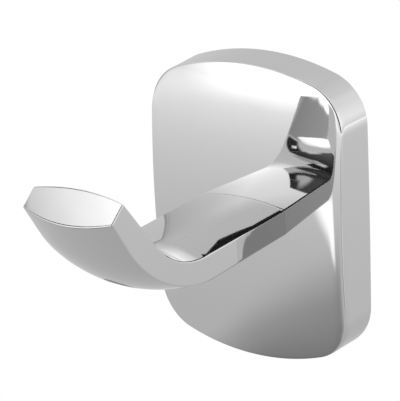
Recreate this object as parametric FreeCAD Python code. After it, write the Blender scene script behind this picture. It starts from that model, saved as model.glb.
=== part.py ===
"""A single robe hook for a bathroom wall: a crowned, hollow cover plate with an
upturned hook arm screwed to it from behind, hung on a hidden wall bracket and
locked by one set screw from below.

Millimetres. The wall is the plane Y = 0 and the hook stands out towards -Y.
Z is up, and the origin lies on the wall behind the middle of the cover plate.
"""
import FreeCAD
import Part
import math
import os

V = FreeCAD.Vector

# cover plate, outside
plate_width = 48.0
plate_height = 65.5
plate_depth = 11.4            # wall to the highest point of the crowned face
plate_corner_radius = 10.8
plate_end_rise = 6.0          # how far the top and bottom edges arch
plate_side_bow = 0.3          # how far each side bulges
plate_draft = 0.55            # the front outline is this much inside the back one
crown_radius = 228.0          # the face is a piece of a sphere
side_edge_reach = 1.6         # size of the rounding between face and rim, at the sides
end_edge_reach = 0.4          # and at the crisper top and bottom

# cover plate, inside
plate_wall = 2.5
face_wall = 2.4
pad_width = 24.0              # flat pad that the arm's screw pulls against
pad_height = 13.0
pad_thickness = 1.4
pad_corner_radius = 3.25

# hook arm, seen from the side and across
arm_width = 20.7
arm_top = 3.0                 # upper flank edge above the plate's middle
arm_thickness = 5.4           # between the two flank edges at the plate
arm_reach = 52.4              # plate face to the tip's rear edge
inner_bend_radius = 21.0
inner_bend_angle = 51.5
inner_bend_start = 27.2       # from the plate face
outer_bend_radius = 33.0
outer_bend_angle = 57.5
outer_bend_start = 24.2
upper_crown = 1.3             # rise of the upper surface between its edges
lower_crown = 2.1
arm_edge_radius = 0.35
arm_seam = 0.05               # between the arm's foot and the plate's face

# fixing of the arm
arm_screw_diameter = 5.0
arm_screw_length = 16.0       # under its head
arm_screw_head_diameter = 8.5
arm_screw_head_height = 2.8
head_chamfer = 0.4
thread_chamfer = 0.6
arm_screw_socket = 3.0
arm_screw_socket_depth = 1.8
arm_screw_hole_clearance = 0.25
thread_clearance = 0.05
blind_hole_allowance = 1.5
washer_diameter = 10.0
washer_thickness = 1.0
pin_diameter = 3.0            # two pins cast on the arm's foot
pin_spacing = 14.0
pin_length = 2.2
pin_clearance = 0.1

# wall bracket
bracket_width = 30.0
bracket_height = 49.0
bracket_thickness = 4.0
bracket_corner_radius = 6.0
bracket_bevel = 30.0          # slope of its upper and lower edges
bracket_window = 15.0         # clears the head of the arm's screw
wall_hole_spacing = 32.0
wall_hole_diameter = 4.5
countersink_diameter = 8.6
countersink_depth = 2.05

# lug and set screw that hold the plate on the bracket
lug_width = 14.0
lug_setback = 0.3             # from the wall
lug_overhang = 1.5            # in front of the bracket's face
set_screw_diameter = 4.0
set_screw_from_wall = 3.4
set_screw_recess = 0.6
set_screw_socket = 2.0
set_screw_socket_depth = 2.5
set_screw_tip_diameter = 1.6
set_screw_tip_length = 1.2
set_screw_clearance = 0.1     # between its tip and the bracket
boss_width = 9.0
boss_height = 4.5

# construction
overshoot = 1.0               # how far a cutting body runs past what it cuts
strip_depth_ratio = 2.2       # the arm's two halves overlap by this many thicknesses
tolerance = 1e-6
edge_sections = 5             # along each arc of the outline
rim_stand_off = 0.18          # shares of the reach by which the rounding's ends stand
face_stand_off = 0.08         # clear of the rim and of the face


def vertical_plane_arc(a, mid, b, y):
    """Arc through three (x, z) points in the plane at height y off the wall."""
    points = [V(x, y, z) for x, z in (a, mid, b)]
    return Part.Arc(*points).toShape()


def end_arc_radius():
    half = plate_width / 2
    return (half ** 2 + plate_end_rise ** 2) / (2 * plate_end_rise)


def side_arc_radius():
    half = plate_height / 2
    return (half ** 2 + plate_side_bow ** 2) / (2 * plate_side_bow)


def corner_centre():
    """Centre of the upper right corner arc, which touches the top and side arcs."""
    end_r = end_arc_radius()
    side_r = side_arc_radius()
    x1, z1, r1 = 0.0, plate_height / 2 - end_r, end_r - plate_corner_radius
    x2, z2, r2 = plate_width / 2 - side_r, 0.0, side_r - plate_corner_radius
    dx, dz = x2 - x1, z2 - z1
    gap = math.hypot(dx, dz)
    along = (r1 ** 2 - r2 ** 2 + gap ** 2) / (2 * gap)
    across = math.sqrt(r1 ** 2 - along ** 2)
    x = x1 + along * dx / gap
    z = z1 + along * dz / gap
    sides = [(x - across * dz / gap, z + across * dx / gap),
             (x + across * dz / gap, z - across * dx / gap)]
    return max(sides)


def plate_outline(inset, y):
    """The plate's outline, moved inwards by inset, in the plane at y."""
    end_r = end_arc_radius()
    side_r = side_arc_radius()
    cx, cz = corner_centre()
    corner_r = plate_corner_radius - inset
    up = math.atan2(cz - (plate_height / 2 - end_r), cx)
    out = math.atan2(cz, cx - (plate_width / 2 - side_r))
    mid = (up + out) / 2
    touch_top = (cx + corner_r * math.cos(up), cz + corner_r * math.sin(up))
    corner = (cx + corner_r * math.cos(mid), cz + corner_r * math.sin(mid))
    touch_side = (cx + corner_r * math.cos(out), cz + corner_r * math.sin(out))
    top = (0.0, plate_height / 2 - inset)
    side = (plate_width / 2 - inset, 0.0)
    half_up = (up + math.pi / 2) / 2
    top_r = end_r - inset
    on_top = (top_r * math.cos(half_up),
              plate_height / 2 - end_r + top_r * math.sin(half_up))

    def flip(p, sx, sz):
        return (p[0] * sx, p[1] * sz)

    edges = []
    for sx, sz in ((1, 1), (-1, 1), (-1, -1), (1, -1)):
        run = [(flip(top, sx, sz), flip(on_top, sx, sz), flip(touch_top, sx, sz)),
               (flip(touch_top, sx, sz), flip(corner, sx, sz), flip(touch_side, sx, sz))]
        edges += [vertical_plane_arc(*piece, y) for piece in run]
    for sx in (1, -1):
        ends = (flip(touch_side, sx, 1), flip(side, sx, 1), flip(touch_side, sx, -1))
        edges.append(vertical_plane_arc(*ends, y))
    return Part.Wire(Part.sortEdges(edges)[0])


def box(x, y, z):
    """Block between two limits along each axis."""
    low = V(min(x), min(y), min(z))
    return Part.makeBox(max(x) - min(x), max(y) - min(y), max(z) - min(z), low)


def rod(diameter, start, end):
    """Cylinder from one point to another."""
    return Part.makeCylinder(diameter / 2, (end - start).Length, start, end - start)


def cone(d1, d2, start, end):
    return Part.makeCone(d1 / 2, d2 / 2, (end - start).Length, start, end - start)


def hexagon_socket(width, start, end):
    """Hexagonal prism, width measured across its flats."""
    axis = end - start
    across = V(1, 0, 0)
    up = axis.cross(across).normalize()
    r = width / math.sqrt(3)
    points = []
    for i in range(7):
        turn = math.radians(60 * i)
        points.append(start + across * (r * math.cos(turn)) + up * (r * math.sin(turn)))
    return Part.Face(Part.makePolygon(points)).extrude(axis)


def arm_path(level, start, radius, angle, tail):
    """Side view of one surface of the arm: level run, bend, straight run upwards."""
    turn = math.radians(angle)
    face = -plate_depth
    begin = V(0, 0, level)
    bend = V(0, face - start, level)
    half = turn / 2
    middle = bend + V(0, -radius * math.sin(half), radius * (1 - math.cos(half)))
    rise = bend + V(0, -radius * math.sin(turn), radius * (1 - math.cos(turn)))
    end = rise + V(0, -tail * math.cos(turn), tail * math.sin(turn))
    return Part.Wire([Part.makeLine(begin, bend),
                      Part.Arc(bend, middle, rise).toShape(),
                      Part.makeLine(rise, end)])


def crowned_strip(level, crown, depth):
    """Section across the arm: a crowned edge with rounded corners, and a block behind it.

    The corner arcs touch both the crown's arc and the flanks. A negative crown bulges
    downwards.
    """
    half = arm_width / 2
    rise = abs(crown)
    up = math.copysign(1.0, crown)
    big = (half ** 2 + rise ** 2) / (2 * rise)
    small = arm_edge_radius
    centre = rise - big
    corner_x = half - small
    corner_z = centre + math.sqrt((big - small) ** 2 - corner_x ** 2)
    lean = math.atan2(corner_z - centre, corner_x)

    def point(x, z):
        return V(x, 0, level + up * z)

    def on_corner(angle, side):
        return point(side * (corner_x + small * math.cos(angle)),
                     corner_z + small * math.sin(angle))

    edges = [Part.Arc(on_corner(lean, -1), point(0, rise), on_corner(lean, 1)).toShape()]
    for side in (1, -1):
        stops = [on_corner(angle, side) for angle in (lean, lean / 2, 0.0)]
        edges.append(Part.Arc(*stops).toShape())
    corners = [point(half, corner_z), point(half, -depth),
               point(-half, -depth), point(-half, corner_z)]
    edges += [Part.makeLine(*pair) for pair in zip(corners, corners[1:])]
    return Part.Wire(Part.sortEdges(edges)[0])


def crown_ball(offset):
    """Ball whose surface is the plate's face, moved inwards by offset."""
    centre = V(0, crown_radius - plate_depth, 0)
    return Part.makeSphere(crown_radius - offset, centre)


def crowned_block(inset, face_offset):
    """Drafted block inside the plate's outline by inset, under the crowned face."""
    far = plate_depth + overshoot
    taper = plate_draft * far / plate_depth
    walls = [plate_outline(inset, 0.0), plate_outline(inset + taper, -far)]
    return Part.makeLoft(walls, True, True).common(crown_ball(face_offset))


def outline_place(turn):
    """Point of the plate's back outline where the outline's normal has that turn."""
    end_r = end_arc_radius()
    side_r = side_arc_radius()
    cx, cz = corner_centre()
    end_turn, side_turn = quarter_turns()
    across, along = abs(math.cos(turn)), abs(math.sin(turn))
    steepness = math.atan2(along, across)
    if steepness > end_turn:
        x, z, r = 0.0, plate_height / 2 - end_r, end_r
    elif steepness > side_turn:
        x, z, r = cx, cz, plate_corner_radius
    else:
        x, z, r = plate_width / 2 - side_r, 0.0, side_r
    return (math.copysign(x + r * across, math.cos(turn)),
            math.copysign(z + r * along, math.sin(turn)))


def quarter_turns():
    """Turns of the outline's normal where the corner arc meets the end and side arcs."""
    cx, cz = corner_centre()
    end_turn = math.atan2(cz - (plate_height / 2 - end_arc_radius()), cx)
    side_turn = math.atan2(cz, cx - (plate_width / 2 - side_arc_radius()))
    return end_turn, side_turn


def edge_section(turn):
    """Section of what the rounding takes off the front edge, across the outline.

    The rounding is a parabola drawn to the sharp corner of the drafted rim and the
    crowned face, and crosses both at a small angle. Beyond them the section runs out to
    a point in the open.
    """
    x, z = outline_place(turn)
    share = math.sin(turn) ** 2
    reach = side_edge_reach + (end_edge_reach - side_edge_reach) * share
    slope = plate_draft / plate_depth
    middle = x * math.cos(turn) + z * math.sin(turn)
    aside = x * math.sin(turn) - z * math.cos(turn)
    level = crown_radius - plate_depth
    lean = 1 + slope ** 2
    b = level - slope * middle
    c = middle ** 2 + level ** 2 - crown_radius ** 2 + aside ** 2
    up = (-b + math.sqrt(b ** 2 - lean * c)) / lean
    inwards = slope * up
    fall = math.atan2(middle - inwards, up + level)

    def point(depth, height):
        return V(x - depth * math.cos(turn), -height, z - depth * math.sin(turn))

    corner = point(inwards, up)
    clear = rim_stand_off * reach
    rim = point(inwards - slope * reach - clear, up - reach)
    clear = face_stand_off * reach
    face = point(inwards + reach * math.cos(fall) - clear * math.sin(fall),
                 up + reach * math.sin(fall) + clear * math.cos(fall))
    tip = point(inwards - overshoot, up + overshoot)
    rounding = Part.BezierCurve()
    rounding.setPoles([rim, corner, face])
    return Part.Wire([rounding.toShape(), Part.makeLine(face, tip), Part.makeLine(tip, rim)])


def edge_cutters():
    """What the rounding takes off the front edge, in a loft for each arc of the outline."""
    end_turn, side_turn = quarter_turns()
    stops = [-side_turn, side_turn, end_turn, math.pi - end_turn, math.pi - side_turn]
    cutters = []
    for start, stop in zip(stops, stops[1:]):
        steps = edge_sections - 1
        turns = [start + (stop - start) * i / steps for i in range(edge_sections)]
        half = Part.makeLoft([edge_section(turn) for turn in turns], True, False)
        cutters += [half, half.rotated(V(0, 0, 0), V(0, 1, 0), 180)]
    return cutters


def screw_seat():
    """Distance from the wall to the flat pad under the arm's washer."""
    return plate_depth - face_wall - pad_thickness


def bracket_edge(y):
    """Height of the bracket's bevelled upper edge at a distance from the wall."""
    slope = math.tan(math.radians(bracket_bevel))
    return bracket_height / 2 - (bracket_thickness - y) * slope


def make_cover_plate():
    """Hollow casting: crowned shell, screw pad, lug over the bracket, set screw boss."""
    body = crowned_block(0.0, 0.0).cut(edge_cutters())
    shell = body.cut(crowned_block(plate_wall, face_wall))

    pad = box((-pad_width / 2, pad_width / 2), (-plate_depth, -screw_seat()),
              (-pad_height / 2, pad_height / 2))
    pad_depth = pad_thickness + face_wall
    corners = [e for e in pad.Edges if abs(e.Length - pad_depth) < tolerance]
    pad = pad.makeFillet(pad_corner_radius, corners)

    high = plate_height / 2
    lug = lug_section().extrude(V(lug_width, 0, 0))
    boss = box((-boss_width / 2, boss_width / 2),
               (-set_screw_from_wall - boss_width / 2, -lug_setback),
               (-high, -high + plate_wall + boss_height))
    inside = crowned_block(plate_wall / 2, face_wall / 2)
    shell = shell.fuse([piece.common(inside) for piece in (pad, lug, boss)]).removeSplitter()

    axis_y = -set_screw_from_wall
    hole = rod(set_screw_diameter + 2 * thread_clearance,
               V(0, axis_y, -high - overshoot),
               V(0, axis_y, -high + plate_wall + boss_height + overshoot))
    holes = [hole]
    holes.append(rod(arm_screw_diameter + 2 * arm_screw_hole_clearance,
                     V(0, -plate_depth - overshoot, 0), V(0, 0, 0)))
    for side in (-1, 1):
        x = side * pin_spacing / 2
        holes.append(rod(pin_diameter + 2 * pin_clearance,
                         V(x, -plate_depth - overshoot, 0), V(x, 0, 0)))
    return shell.cut(holes)


def lug_section():
    """Side view of the lug, which bears on the bracket's bevelled upper edge."""
    x = -lug_width / 2
    near, far = lug_setback, bracket_thickness
    nose = far + lug_overhang
    roof = plate_height / 2
    points = [V(x, -near, bracket_edge(near)), V(x, -far, bracket_edge(far)),
              V(x, -nose, bracket_edge(far)), V(x, -nose, roof),
              V(x, -near, roof)]
    return Part.Face(Part.makePolygon(points + points[:1]))


def inner_tail():
    """Length of the upper surface beyond its bend, out to the tip."""
    turn = math.radians(inner_bend_angle)
    reached = inner_bend_start + inner_bend_radius * math.sin(turn)
    return (arm_reach - reached) / math.cos(turn)


def screw_end():
    """Distance from the wall to the end of the arm's screw."""
    return screw_seat() - washer_thickness + arm_screw_length


def make_hook_arm():
    """Solid arm, lens-shaped across, whose two crowned surfaces bend upwards."""
    deep = strip_depth_ratio * arm_thickness
    tail = inner_tail()
    upper_path = arm_path(arm_top, inner_bend_start, inner_bend_radius,
                          inner_bend_angle, tail)
    upper_strip = crowned_strip(arm_top, upper_crown, deep)
    below = upper_path.makePipeShell([upper_strip], True, False)
    bottom = arm_top - arm_thickness
    lower_path = arm_path(bottom, outer_bend_start, outer_bend_radius,
                          outer_bend_angle, tail + deep)
    lower_strip = crowned_strip(bottom, -lower_crown, deep)
    above = lower_path.makePipeShell([lower_strip], True, False)
    arm = below.common(above).cut(crown_ball(-arm_seam)).removeSplitter()

    pins = []
    for side in (-1, 1):
        x = side * pin_spacing / 2
        pins.append(rod(pin_diameter, V(x, -plate_depth - overshoot, 0),
                        V(x, -plate_depth + pin_length, 0)))
    thread = rod(arm_screw_diameter + 2 * thread_clearance, V(0, 0, 0),
                 V(0, -screw_end() - blind_hole_allowance, 0))
    return arm.fuse(pins).removeSplitter().cut(thread)


def make_arm_screw():
    """Cheese-head screw, driven from the wall side through the plate into the arm."""
    seat = -screw_seat() + washer_thickness
    top = seat + arm_screw_head_height
    head = rod(arm_screw_head_diameter, V(0, seat, 0), V(0, top, 0))
    rim = [e for e in head.Edges if all(v.Point.y > top - tolerance for v in e.Vertexes)]
    head = head.makeChamfer(head_chamfer, rim)
    shank = rod(arm_screw_diameter, V(0, seat, 0), V(0, -screw_end(), 0))
    point = [e for e in shank.Edges
             if all(v.Point.y < -screw_end() + tolerance for v in e.Vertexes)]
    shank = shank.makeChamfer(thread_chamfer, point)
    socket = hexagon_socket(arm_screw_socket, V(0, top, 0),
                            V(0, top - arm_screw_socket_depth, 0))
    return head.fuse(shank).removeSplitter().cut(socket)


def make_washer():
    seat = -screw_seat()
    far = seat + washer_thickness
    disc = rod(washer_diameter, V(0, seat, 0), V(0, far, 0))
    bore = arm_screw_diameter + 2 * arm_screw_hole_clearance
    return disc.cut(rod(bore, V(0, seat, 0), V(0, far, 0)))


def make_wall_bracket():
    """Cast bracket with undercut upper and lower edges and two countersunk holes."""
    half_width = bracket_width / 2
    back, front = bracket_edge(0.0), bracket_edge(bracket_thickness)
    side = [V(-half_width, 0, -back), V(-half_width, 0, back),
            V(-half_width, -bracket_thickness, front),
            V(-half_width, -bracket_thickness, -front)]
    wedge = Part.Face(Part.makePolygon(side + side[:1])).extrude(V(bracket_width, 0, 0))
    blank = box((-half_width, half_width), (-bracket_thickness, 0), (-front, front))
    upright = [e for e in blank.Edges if abs(e.Length - bracket_thickness) < tolerance]
    bracket = wedge.common(blank.makeFillet(bracket_corner_radius, upright))
    cuts = [rod(bracket_window, V(0, -bracket_thickness, 0), V(0, 0, 0))]
    for side in (-1, 1):
        z = side * wall_hole_spacing / 2
        face = V(0, -bracket_thickness, z)
        cuts.append(rod(wall_hole_diameter, face, V(0, 0, z)))
        cuts.append(cone(countersink_diameter, wall_hole_diameter, face,
                         face + V(0, countersink_depth, 0)))
    return bracket.cut(cuts)


def make_set_screw():
    """Socket set screw in the rim's lower wall, its cone under the bracket's edge."""
    y = -set_screw_from_wall
    reach = max(set_screw_from_wall + set_screw_tip_diameter / 2, bracket_thickness)
    tip = -bracket_edge(reach) - set_screw_clearance
    shoulder = tip - set_screw_tip_length
    base = -plate_height / 2 + set_screw_recess
    body = rod(set_screw_diameter, V(0, y, base), V(0, y, shoulder))
    point = cone(set_screw_diameter, set_screw_tip_diameter, V(0, y, shoulder), V(0, y, tip))
    socket = hexagon_socket(set_screw_socket, V(0, y, base),
                            V(0, y, base + set_screw_socket_depth))
    return body.fuse(point).removeSplitter().cut(socket)


pieces = {
    "cover_plate": make_cover_plate(),
    "hook_arm": make_hook_arm(),
    "arm_screw": make_arm_screw(),
    "arm_screw_washer": make_washer(),
    "wall_bracket": make_wall_bracket(),
    "set_screw": make_set_screw(),
}
os.makedirs("parts", exist_ok=True)
for name, shape in pieces.items():
    shape.exportStep(f"parts/{name}.step")
    print(name, len(shape.Solids), shape.isValid(), round(shape.Volume, 1))
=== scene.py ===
"""Looks of the robe hook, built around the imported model.

Metres. The wall is the plane y = 0, the hook stands out towards -y and z is up. The
origin lies on the wall behind the middle of the cover plate.
"""
import math

import bmesh
import bpy
import numpy as np
from mathutils import Matrix, Vector


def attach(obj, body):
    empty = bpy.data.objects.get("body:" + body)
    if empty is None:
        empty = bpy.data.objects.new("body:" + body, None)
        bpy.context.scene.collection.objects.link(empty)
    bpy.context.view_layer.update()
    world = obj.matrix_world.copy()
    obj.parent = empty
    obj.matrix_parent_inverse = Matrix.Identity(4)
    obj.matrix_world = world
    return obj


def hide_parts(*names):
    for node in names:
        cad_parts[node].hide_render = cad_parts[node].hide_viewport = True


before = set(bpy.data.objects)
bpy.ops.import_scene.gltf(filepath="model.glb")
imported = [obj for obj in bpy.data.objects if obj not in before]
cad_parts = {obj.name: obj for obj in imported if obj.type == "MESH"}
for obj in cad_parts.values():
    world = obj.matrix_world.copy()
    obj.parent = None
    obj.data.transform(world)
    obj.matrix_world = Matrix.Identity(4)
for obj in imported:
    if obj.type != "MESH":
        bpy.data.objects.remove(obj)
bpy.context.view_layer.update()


# Camera
# It stands to the right of the hook and looks down on it, with a long lens and a
# slight roll, as the photograph shows the hook.
mm = 0.001
camera_azimuth = math.radians(35.73)
camera_elevation = math.radians(20.27)
camera_roll = math.radians(-3.0)
camera_distance = 398.7 * mm
camera_target = Vector((-10.4, -11.4, 1.7)) * mm
camera_lens = 171.2  # millimetres, as its sensor
camera_sensor = 36.0


def placed(name, data):
    """An object at the origin that shows the mesh or holds the camera."""
    made = bpy.data.objects.new(name, data)
    bpy.context.scene.collection.objects.link(made)
    return made


towards_camera = Vector((math.sin(camera_azimuth) * math.cos(camera_elevation),
                         -math.cos(camera_azimuth) * math.cos(camera_elevation),
                         math.sin(camera_elevation)))
level_right = Vector((math.cos(camera_azimuth), math.sin(camera_azimuth), 0.0))
level_up = towards_camera.cross(level_right)
camera_right = level_right * math.cos(camera_roll) + level_up * math.sin(camera_roll)
camera_up = level_up * math.cos(camera_roll) - level_right * math.sin(camera_roll)
camera_data = bpy.data.cameras.new("camera")
camera_data.lens = camera_lens
camera_data.sensor_fit = "HORIZONTAL"
camera_data.sensor_width = camera_sensor
camera = placed("camera", camera_data)
axes = Matrix((camera_right, camera_up, towards_camera)).transposed()
camera.matrix_world = (Matrix.Translation(camera_target + towards_camera * camera_distance)
                       @ axes.to_4x4())
bpy.context.scene.camera = camera


# Cover plate
# A hollow zinc casting with a crowned face, polished and chromed outside. The arm's screw
# pulls against a pad inside it, a lug hangs it on the bracket, and a set screw holds it.
plate_width = 48.0 * mm
plate_height = 65.5 * mm
plate_depth = 11.4 * mm
plate_corner_radius = 10.8 * mm
plate_end_rise = 6.0 * mm  # of the arc over the width
plate_side_bow = 0.3 * mm  # of the arc over the height
plate_draft = 0.55 * mm  # from the wall to the face
crown_radius = 228.0 * mm

roll_at_sides = (2.2 * mm, 0.5 * mm, 3.6 * mm)  # down the wall, in over the face, margin
roll_at_ends = (0.3 * mm, 0.3 * mm, 1.5 * mm)
roll_growth = 0.0154 / mm ** 2  # slope, over the squared distance past the margin
wall_pull = 0.75  # control points of the roll's curve, as shares of the way to the corner
face_pull = 1.0
roll_full_until = math.radians(14.0)  # normal's turn from the sideways direction
roll_least_from = math.radians(66.0)

plate_wall = 2.5 * mm
face_wall = 2.4 * mm
cavity_root = 0.8 * mm
pad_size = (24.0 * mm, 13.0 * mm)
pad_corner = 3.25 * mm
pad_level = 7.6 * mm
arm_screw_hole = 5.5 * mm
pin_hole = 3.2 * mm
pin_spacing = 14.0 * mm

lug_width = 14.0 * mm
lug_setback = 0.3 * mm
lug_nose = 5.5 * mm
boss_width = 9.0 * mm
boss_top = 25.75 * mm  # below the plate's middle
block_root = 1.3 * mm  # how deep lug and boss reach into the wall
block_edge = 0.35 * mm
set_screw_hole = 4.1 * mm
set_screw_from_wall = 3.4 * mm
bracket_thickness = 4.0 * mm
bracket_height = 49.0 * mm
bracket_bevel = math.radians(30.0)

past = 1.0 * mm  # how far a cutting body runs past what it cuts
inside_from = 0.35 * mm  # depth under the outer skin
inside_full = 0.7 * mm
small_edge = 0.2 * mm
sharp_angle = math.radians(35.0)  # steeper edges stay sharp, or get a bevel
weld_distance = 0.0001 * mm

columns_per_arc = 48
face_rows = 59
face_gather = 1.3  # above 1, rows lie closer towards the rim
margin_rows = 9
edge_rows = 22
root_rows = 7
corner_rounds = 6  # each brings the corner's height closer
bar_sides = 64

end_radius = ((plate_width / 2) ** 2 + plate_end_rise ** 2) / (2 * plate_end_rise)
side_radius = ((plate_height / 2) ** 2 + plate_side_bow ** 2) / (2 * plate_side_bow)
ball_level = crown_radius - plate_depth  # the crown's centre, behind the wall
draft_slope = plate_draft / plate_depth


def corner_arc():
    """Centre of the corner arc, which touches the end arc and the side arc, and the two
    angles at which it touches the side and the end."""
    x1, z1, r1 = 0.0, plate_height / 2 - end_radius, end_radius - plate_corner_radius
    x2, z2, r2 = plate_width / 2 - side_radius, 0.0, side_radius - plate_corner_radius
    gap = math.hypot(x2 - x1, z2 - z1)
    along = (r1 ** 2 - r2 ** 2 + gap ** 2) / (2 * gap)
    across = math.sqrt(r1 ** 2 - along ** 2)
    ux, uz = (x2 - x1) / gap, (z2 - z1) / gap
    x, z = max((x1 + along * ux + s * across * uz, z1 + along * uz - s * across * ux)
               for s in (-1, 1))
    return x, z, math.atan2(z - z2, x - x2), math.atan2(z - z1, x - x1)


corner_x, corner_z, side_turn, end_turn = corner_arc()


def outline_angles():
    """Directions of the outline's normal, once round, with as many on each of its arcs."""
    stops = [-side_turn, side_turn, end_turn, math.pi - end_turn, math.pi - side_turn,
             math.pi + side_turn, math.pi + end_turn, 2 * math.pi - end_turn,
             2 * math.pi - side_turn]
    return np.concatenate([np.linspace(a, b, columns_per_arc, endpoint=False)
                           for a, b in zip(stops, stops[1:])])


def full_turn(count):
    """Evenly spaced directions, once round."""
    return np.linspace(0.0, 2 * np.pi, count, endpoint=False)


def unit_circle(turn):
    """Points at distance 1 in the given directions."""
    return np.stack([np.cos(turn), np.sin(turn)], -1)


def outline(turn):
    """Point of the plate's back outline whose outward normal has that direction: the
    centre of its arc plus the arc's radius along the normal. Returns point and normal."""
    c, s = np.cos(turn), np.sin(turn)
    fold = np.arctan2(np.abs(s), np.abs(c))
    on_side, on_end = fold < side_turn, fold > end_turn
    centre_x = np.where(on_side, plate_width / 2 - side_radius, np.where(on_end, 0.0, corner_x))
    centre_z = np.where(on_side, 0.0, np.where(on_end, plate_height / 2 - end_radius, corner_z))
    radius = np.where(on_side, side_radius, np.where(on_end, end_radius, plate_corner_radius))
    x = np.sign(c) * (centre_x + radius * np.abs(c))
    z = np.sign(s) * (centre_z + radius * np.abs(s))
    return np.stack([x, z], -1), unit_circle(turn)


def crown_height(xz, radius):
    """Height above the wall of a sphere about the crown's centre, over points (x, z)."""
    return np.sqrt(radius ** 2 - (xz ** 2).sum(-1)) - ball_level


def lift(xz, height):
    """Points (x, z) at a height above the wall, as rows of x, y, z."""
    return np.stack([xz[..., 0], -np.broadcast_to(height, xz[..., 0].shape), xz[..., 1]], -1)


def rolled_edge(turn, inset, ball_radius, over_wall, over_face, margin, steps):
    """Rows round the edge between a drafted wall and the crown. In the plane of each
    outline normal the wall is a line, and the face is the crown's circle less a cubic
    fall that begins at the margin and stands for the roll that buffing leaves. A cubic
    curve leaves the wall at one distance below their corner and joins the face at another
    distance inside it, with its bend building up gently from both."""
    start, normal = outline(turn)
    middle = (start * normal).sum(-1)
    aside = start[:, 0] * normal[:, 1] - start[:, 1] * normal[:, 0]
    big = np.sqrt(ball_radius ** 2 - aside ** 2)

    def face(depth):
        roll = np.maximum(margin - depth, 0.0)
        rise = np.sqrt(big ** 2 - (depth - middle) ** 2)
        return (rise - ball_level - roll_growth * roll ** 3 / 3,
                (middle - depth) / rise + roll_growth * roll ** 2)

    corner_up = np.full(len(turn), plate_depth)
    for _ in range(corner_rounds):
        corner_up = face(inset + draft_slope * corner_up)[0]
    depth = inset + draft_slope * corner_up
    leave = np.stack([depth - draft_slope * over_wall, corner_up - over_wall], -1)
    pull_1 = leave + np.stack([draft_slope * over_wall, over_wall], -1) * wall_pull
    up, slope = face(depth + over_face)
    join = np.stack([depth + over_face, up], -1)
    pull_2 = join - np.stack([over_face, slope * over_face], -1) * face_pull
    rows = []
    for t in np.linspace(0.0, 1.0, steps):
        point = (leave * (1 - t) ** 3 + 3 * pull_1 * t * (1 - t) ** 2
                 + 3 * pull_2 * t ** 2 * (1 - t) + join * t ** 3)
        rows.append(lift(start - normal * point[:, :1], point[:, 1]))
    for share in np.linspace(0.0, 1.0, margin_rows + 1)[1:]:
        inwards = depth + over_face + (margin - over_face) * share
        rows.append(lift(start - normal * inwards[:, None], face(inwards)[0]))
    return rows


def between(a, b, shares):
    """Straight rows from a to b at the given shares of the way."""
    return [a + (b - a) * share for share in shares]


def over_crown(a, b, ball_radius, shares):
    """Rows from a to b at shares of the way in x and z, lifted onto the sphere."""
    flat = between(a[:, [0, 2]], b[:, [0, 2]], shares)
    return [lift(xz, crown_height(xz, ball_radius)) for xz in flat]


def softened(before, corner, after, radius, steps):
    """Rows that round a sharp corner row: a parabola from the point at that distance
    before the corner to the point at that distance after it."""
    def towards(other):
        way = other - corner
        return corner + way * (radius / np.linalg.norm(way, axis=-1, keepdims=True))
    a, b = towards(before), towards(after)
    return [a * (1 - t) ** 2 + 2 * corner * t * (1 - t) + b * t ** 2
            for t in np.linspace(0.0, 1.0, steps)]


def rounded_rectangle(turn, half_x, half_z, corner):
    """Where rays from the middle in the given directions meet a rectangle with round
    corners: the nearer of its two sides, or its corner circle beyond their ends."""
    c, s = np.abs(np.cos(turn)), np.abs(np.sin(turn))
    reach = 1 / np.maximum(c / half_x, s / half_z)
    cx, cz = half_x - corner, half_z - corner
    along = c * cx + s * cz
    bend = along + np.sqrt(np.maximum(along ** 2 - cx ** 2 - cz ** 2 + corner ** 2, 0.0))
    beyond = (reach * c > cx) & (reach * s > cz)
    return unit_circle(turn) * np.where(beyond, bend, reach)[:, None]


def grid_faces(rows, columns, closed_rows, closed_columns):
    """Corner numbers of the squares of a grid, which may close on itself either way."""
    i, j = np.meshgrid(np.arange(rows - (not closed_rows)),
                       np.arange(columns - (not closed_columns)), indexing="ij")
    i2, j2 = (i + 1) % rows, (j + 1) % columns
    corners = [i * columns + j, i2 * columns + j, i2 * columns + j2, i * columns + j2]
    return np.stack(corners, -1).reshape(-1, 4)


def smoothed(mesh):
    """Shades the mesh smooth, apart from its sharp edges."""
    mesh.shade_smooth()
    mesh.set_sharp_from_angle(angle=sharp_angle)


def closed_piece(name, grids):
    """One object from grids of points, each given with whether its rows and its columns
    close on themselves. Shared edges are welded, faces turned outwards, and shading is
    smooth up to the sharp angle."""
    points, faces, count = [], [], 0
    for grid, closed_rows, closed_columns in grids:
        faces.append(grid_faces(*grid.shape[:2], closed_rows, closed_columns) + count)
        points.append(grid.reshape(-1, 3))
        count += len(points[-1])
    mesh = bpy.data.meshes.new(name)
    mesh.from_pydata(np.concatenate(points).tolist(), [], np.concatenate(faces).tolist())
    solid = bmesh.new()
    solid.from_mesh(mesh)
    bmesh.ops.remove_doubles(solid, verts=solid.verts, dist=weld_distance)
    bmesh.ops.recalc_face_normals(solid, faces=solid.faces)
    solid.to_mesh(mesh)
    solid.free()
    smoothed(mesh)
    return placed(name, mesh)


def ringed(name, rows):
    """One object from rows of points that each go once round it."""
    return closed_piece(name, [(np.array(rows), False, True)])


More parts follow.
